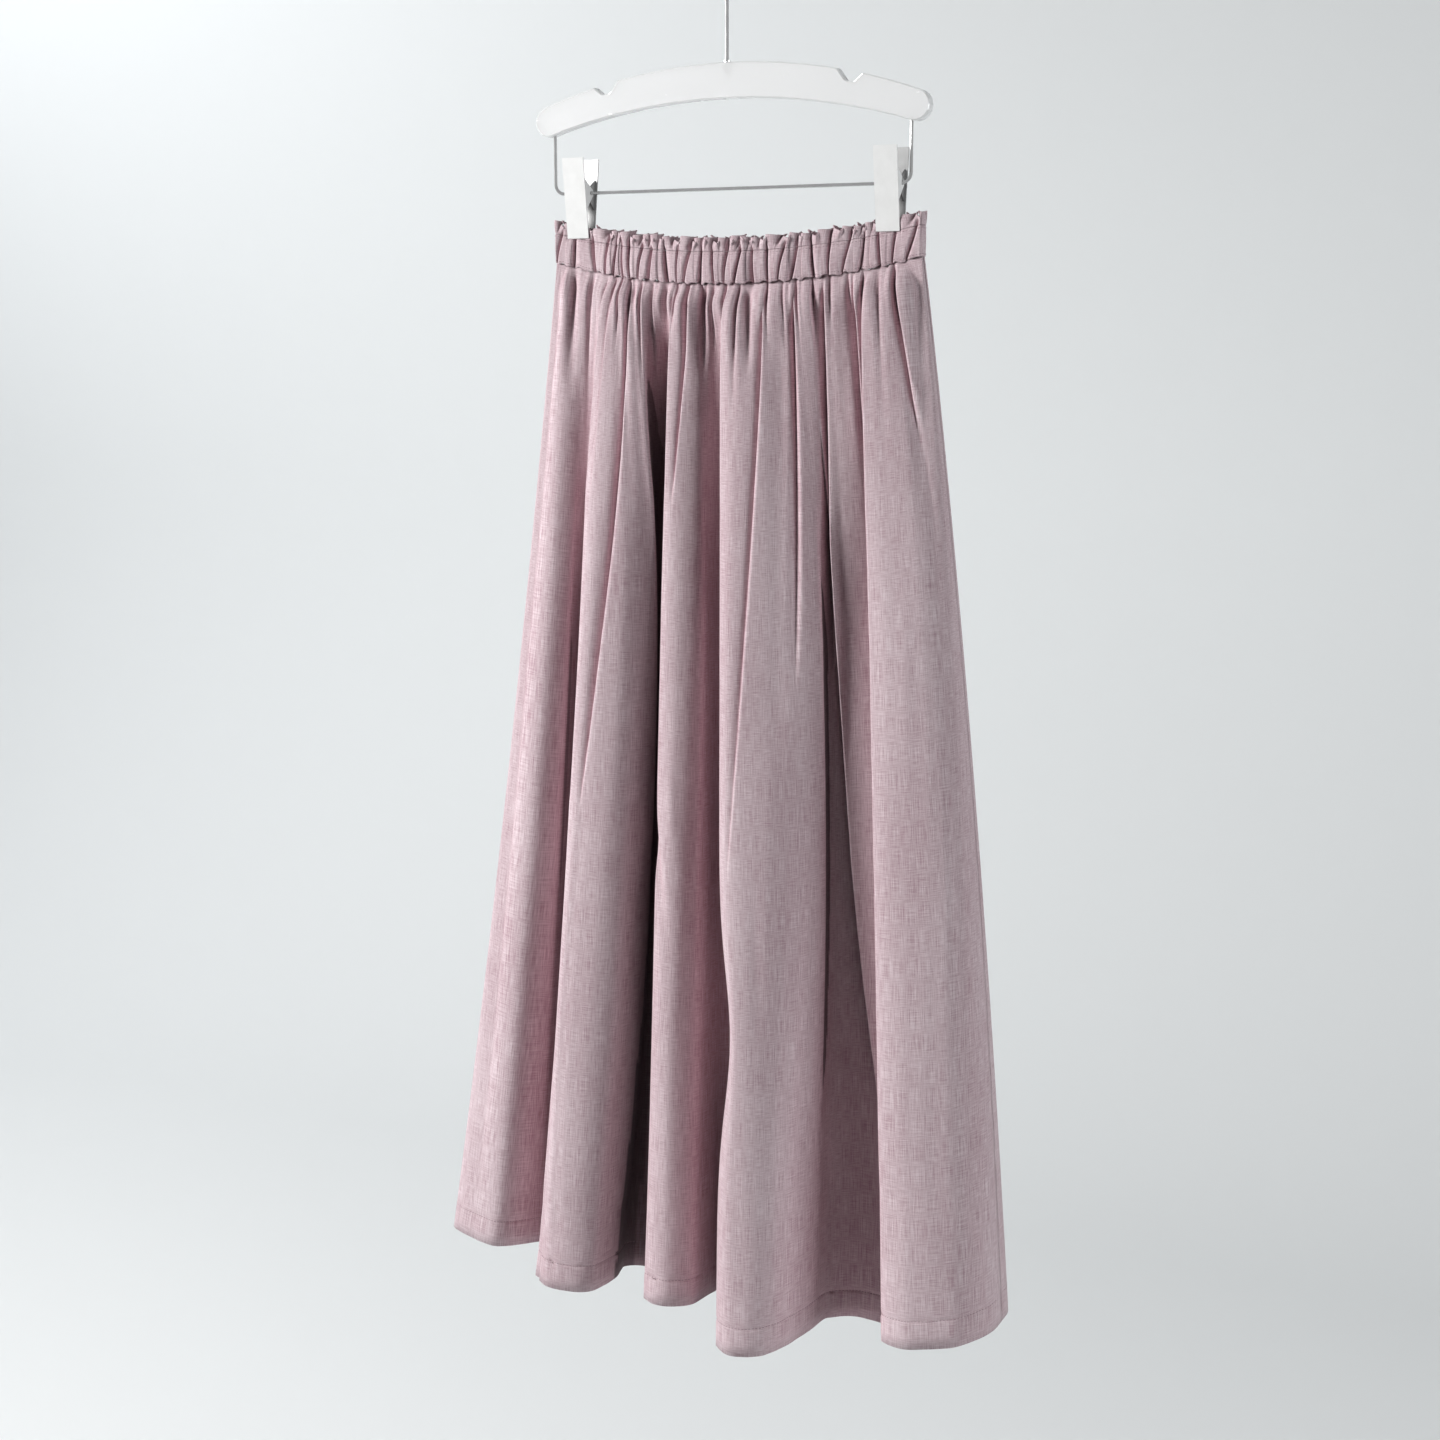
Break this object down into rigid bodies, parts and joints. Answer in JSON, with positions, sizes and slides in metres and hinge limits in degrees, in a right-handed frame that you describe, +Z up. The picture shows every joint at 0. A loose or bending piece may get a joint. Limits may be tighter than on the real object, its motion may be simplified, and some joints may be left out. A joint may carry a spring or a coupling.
{
  "type": "maxi skirt on a clip hanger",
  "caption": "Long gathered linen skirt with an elastic casing and ruffled heading, held by two clips of a clear hanger.",
  "frame": {"origin": "inside top of the hanger's hook, where a rail carries it", "axes": "+Z up, +X across the hanger to the right of the front view, -Y towards the front of the skirt"},
  "size_m": [0.545, 0.2232, 1.1774],
  "materials": {
    "linen": "plain-weave linen, dusty rose",
    "clear_bar": "clear moulded plastic, polished",
    "wire": "bright round wire",
    "clip_metal": "satin plated sheet"
  },
  "bodies": {
    "root": {"hanger_hook": "wire", "hanger_ferrule": "wire", "hanger_bar": "clear_bar", "hanger_wire": "wire", "clip_left_front": "clip_metal", "clip_left_back": "clip_metal", "clip_left_spring": "wire", "clip_right_front": "clip_metal", "clip_right_back": "clip_metal", "clip_right_spring": "wire", "waist_heading": "linen", "waist_casing": "linen", "skirt_front": "linen", "skirt_back": "linen"}
  },
  "joints": []
}
